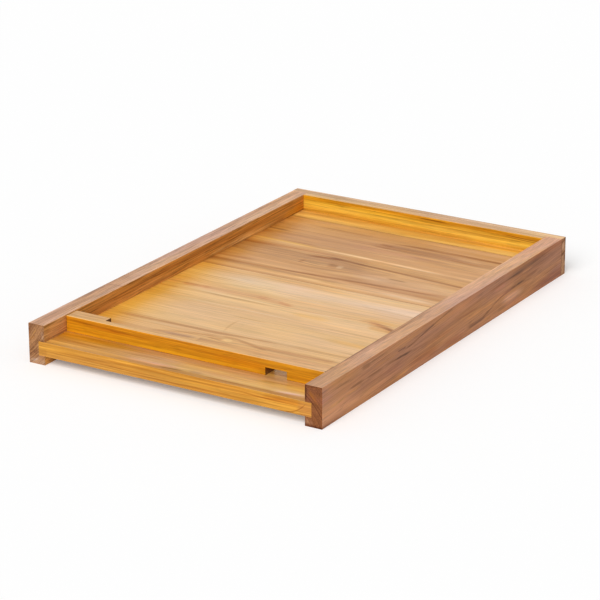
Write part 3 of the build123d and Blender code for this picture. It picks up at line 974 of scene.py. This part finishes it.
# Back rail: its top, its inner face and the right lap's end show
backRail = {
    "node": "back_rail", "lie": "cross", "seed": 7.0, "gloss": railGloss, "wear": rubbedArrisAndGlint,
    "colours": {"light": (0.805, 0.447, 0.157), "band": (0.705, 0.36, 0.108),
                "endLight": (0.48, 0.25, 0.122), "endDark": (0.24, 0.1, 0.04)},
    "shares": {"drift": 0.7, "streaky": 0.8, "ring": 0.8, "fibre": 0.55, "pores": 0.2},
    "rings": {"across": -60.0, "depth": -300.0, "drift": 0.01, "width": 3.0, "late": 0.45, "wander": 1.2},
    # Top paler: painted sheen; inner face deeper orange: painted light
    "paintedFaceLight": {"up": (0.99, 1.17, 1.75), "front": (1.037, 1.09, 0.36)},
    "streaks": [
        streak((-220, 41.5), 220, 4, "brown", 0.9),
        # Dark foot of the inner face near the floor: painted contact shadow
        streak((-260, 27), (260, 27.5), 4, "brown", 0.9),
        streak((-260, 35), (260, 34), 6, "honey", 0.65),
        streak((-10, 41.3), (44, 41), 1.2, "deep", 0.88),
        streak((92, 41.6), (170, 38), 0.7, "deep", 0.85),
        streak((100, 39.2), (170, 35.8), 0.7, "deep", 0.75),
        streak((-140, 41), (-10, 38), 0.8, "deep", 0.56),
        streak((-66, 31), -44, 0.8, "line", 0.75),
        onFront((-260, 42), 260, 3.6, "amber"),
        onFront((-260, 42), 260, 3.2, "orange", 0.45),
        onFront((-260, 38), 160, 3, "amber", 0.4),
        onFront((-110, 33), 100, 3, "cream", 0.4),
        onFront((30, 29.6), (230, 30), 4.6, "cream", 0.7),
        onFront((74, 41.5), (150, 41), 2.6, "lift", 0.55),
        onTop((10, -259), 260, 12, "lift", 0.5, fade=50),
        onTop((-50, -252.5), 70, 4, "lift", 0.6),
        onTop((-200, -261), -90, 6.5, "shade", 0.8, fade=24),
        onTop((-75, -264), 30, 3, "shade", 0.6),
        onTop((-190, -249.6), (70, -249), 2.6, "orange", 0.9),
        onTop((-200, -252.6), 20, 3.2, "lift", 0.4, fade=30),
        onTop((70, -258.5), 220, 4, "lift", 0.8),
        upEnd((-20, -258.2), 64, 1.6, "deep", 0.9, fade=4),
        upEnd((28, -267.4), 46, 3.2, "deep", 0.9, fade=4),
        upEnd((14, -266.8), 26, 3.6, "deep", 0.9, fade=3),
        upEnd((2, -267), 12, 3, "deep", 0.8, fade=3),
        upEnd((22, -262.5), 27, 3.6, "deep", 0.7, fade=1.6),
        upEnd((26, -262), 44, 3.2, "blush", 0.6, fade=4),
        onFront((-90, 41), -10, 3, "shade", 0.25),
        onFront((-80, 39), 60, 5, "amber", 0.3),
        onFront((-50, 29), 25, 3.6, "shade", 0.2),
        onFront((-230, 33), 20, 3, "cream", 0.35),
        onFront((60, 29), 230, 4, "cream", 0.35),
        onTop((20, -253.5), 90, 3.4, "tan", 0.45),
        onTop((-175, -258.5), -115, 4, "shade", 0.3),
    ],
}

# Entrance reducer, golden on its front
reducerStick = {
    "node": "entrance_reducer", "lie": "cross", "seed": 8.0, "gloss": railGloss, "wear": rubbedArrisAndGlint,
    "colours": {"light": (0.72, 0.38, 0.15), "band": (0.62, 0.3, 0.11),
                "endLight": (0.2, 0.085, 0.02), "endDark": (0.1, 0.035, 0.008)},
    "shares": {"drift": 0.5, "streaky": 0.8, "ring": 0.8, "fibre": 0.35, "pores": 0.2},
    "rings": {"across": -80.0, "depth": 200.0, "drift": 0.01, "width": 3.0, "late": 0.45, "wander": 1.2},
    # Top paler: painted sheen; front deeper orange: painted light
    "paintedFaceLight": {"up": (1.148, 1.283, 1.22), "front": (0.97, 0.795, 0.057)},
    "streaks": [
        onTop((20, 217), 170, 7, "lift", 0.22, fade=24),
        onTop((-80, 220), 28, 4, "shade", 0.35),
        streak((-170, 39), (-70, 38.5), 2.6, "brown"),
        streak((-130, 38), (90, 38.5), 2.6, "brown", 0.6),
        streak((-120, 35.5), -40, 2.2, "brown", 0.6),
        streak((10, 33), 112, 6, "orange", 0.75),
        streak((-220, 41), 120, 2.6, "tan", 0.75),
        streak((-220, 28), 220, 2.6, "honey", 0.62),
        onTop((-60, 224.5), 260, 6, "lift", 0.35, fade=200),
        onTop((5, 214.5), 260, 6, "lift", 0.45, fade=50),
        onTop((-200, 225), -98, 4, "shade", 0.45, fade=24),
        onFront((-140, 36.4), -72, 2.4, "rust", 0.85),
        onFront((-240, 28.6), -60, 3, "lift", 0.25),
        onFront((50, 28.6), 88, 3, "lift", 0.45),
        onFront((-70, 41), 110, 2.6, "shade", 0.3),
        onFront((-230, 42), 130, 3, "mauve", 0.6),
        onFront((-190, 36.4), 120, 2.6, "rust", 0.4),
        onFront((-120, 29), -10, 3, "cream", 0.25),
        onFront((-50, 32.6), 20, 2.6, "lift", 0.3),
        onTop((55, 218), 200, 7, "lift", 0.25),
        onTop((-35, 219.5), 25, 3.6, "shade", 0.25),
        onTop((-10, 225), 60, 3.6, "shade", 0.2),
    ],
}

for piece in (paleBoard, brownBoard, rearBoard, frontBoard, leftRail, rightRail, backRail, reducerStick):
    woodMaterial(piece)


# Nail heads in the back face
nailSteel = {"node": "corner_nails", "colour": (0.45, 0.45, 0.46), "dull": (0.28, 0.25, 0.23),
             "roughness": 0.2, "dullRough": 0.3, "speckleScale": 900.0,
             "speckleNoise": (4.0, 0.6), "dullEdge": (0.35, 0.7), "bump": 0.3, "bumpDepth": 0.0001}


def steelMaterial(piece):
    material, tree, shader = startMaterial("nailSteel")
    coords = addNode(tree, "ShaderNodeTexCoord").outputs
    speckle = scaled(tree, coords["Object"], piece["speckleScale"])
    speckle = noise(tree, speckle, *piece["speckleNoise"])[0]
    bump = addNode(tree, "ShaderNodeBump", {
        "Height": speckle, "Strength": piece["bump"], "Distance": piece["bumpDepth"]})
    dull = ease(tree, speckle, *piece["dullEdge"])
    feedNamed(tree, shader, {
        "Base Color": mixColour(tree, dull, opaque(piece["colour"]), opaque(piece["dull"])),
        "Roughness": calc(tree, "MULTIPLY_ADD", speckle, piece["dullRough"], piece["roughness"]),
        "Normal": bump.outputs["Normal"], "Metallic": 1.0})
    dress(piece, material)


steelMaterial(nailSteel)
print("finishes done")


# Stage
stage = {"floorHalf": 6.0, "floorColour": (0.86, 0.86, 0.86), "floorLift": 0.17, "skyFill": 0.4,
         "keyStrength": 2.6, "keyAngle": 45.0, "keyFrom": (0.15, -0.72, 0.67)}


def seenRays(tree):  # 1 for what the camera, a reflection or glass sees
    path = addNode(tree, "ShaderNodeLightPath").outputs
    seen = calc(tree, "MAXIMUM", path["Is Camera Ray"], path["Is Glossy Ray"])
    return calc(tree, "MAXIMUM", seen, path["Is Transmission Ray"])


def makeStage():
    mesh = bpy.data.meshes.new("studioFloor")
    sheet = bmesh.new()
    bmesh.ops.create_grid(sheet, x_segments=1, y_segments=1, size=stage["floorHalf"])
    sheet.to_mesh(mesh)
    sheet.free()
    floor = bpy.data.objects.new("studioFloor", mesh)
    bpy.context.scene.collection.objects.link(floor)
    material, tree, shader = startMaterial("studioFloor")
    lift = calc(tree, "MULTIPLY", seenRays(tree), stage["floorLift"])
    feedNamed(tree, shader, {
        "Base Color": opaque(stage["floorColour"]), "Roughness": 1.0, "Specular IOR Level": 0.0,
        "Emission Color": white, "Emission Strength": lift})
    mesh.materials.append(material)

    world = bpy.data.worlds.new("studio")
    bpy.context.scene.world = world
    world.use_nodes = True
    tree = world.node_tree
    fill = calc(tree, "MULTIPLY_ADD", seenRays(tree), 1.0 - stage["skyFill"], stage["skyFill"])
    feedNamed(tree, tree.nodes["Background"], {"Color": white, "Strength": fill})

    lamp = bpy.data.lights.new("softKey", "SUN")
    lamp.energy = stage["keyStrength"]
    lamp.angle = math.radians(stage["keyAngle"])
    key = bpy.data.objects.new("softKey", lamp)
    key.location = Vector(stage["keyFrom"]).normalized()
    key.rotation_mode = "QUATERNION"
    key.rotation_quaternion = (-key.location).to_track_quat("-Z", "Y")
    bpy.context.scene.collection.objects.link(key)


# Camera at the photograph's viewpoint, for a square picture
viewpoint = {"place": (1.43767, -2.3672, 1.02603), "aim": (0.001387, -0.020465, 0.025),
             "roll": -0.2155, "lens": 162.539, "sensor": 36.0, "clip": (0.1, 50.0)}


def makeCamera():
    data = bpy.data.cameras.new("photoView")
    data.lens = viewpoint["lens"]
    data.sensor_width = viewpoint["sensor"]
    data.clip_start, data.clip_end = viewpoint["clip"]
    camera = bpy.data.objects.new("photoView", data)
    camera.location = viewpoint["place"]
    towards = Vector(viewpoint["aim"]) - Vector(viewpoint["place"])
    roll = Quaternion((0.0, 0.0, 1.0), math.radians(viewpoint["roll"]))
    camera.rotation_mode = "QUATERNION"
    camera.rotation_quaternion = towards.to_track_quat("-Z", "Y") @ roll
    bpy.context.scene.collection.objects.link(camera)
    bpy.context.scene.camera = camera


makeStage()
makeCamera()
bpy.context.scene.view_settings.view_transform = "Standard"
print("stage, light and camera set")
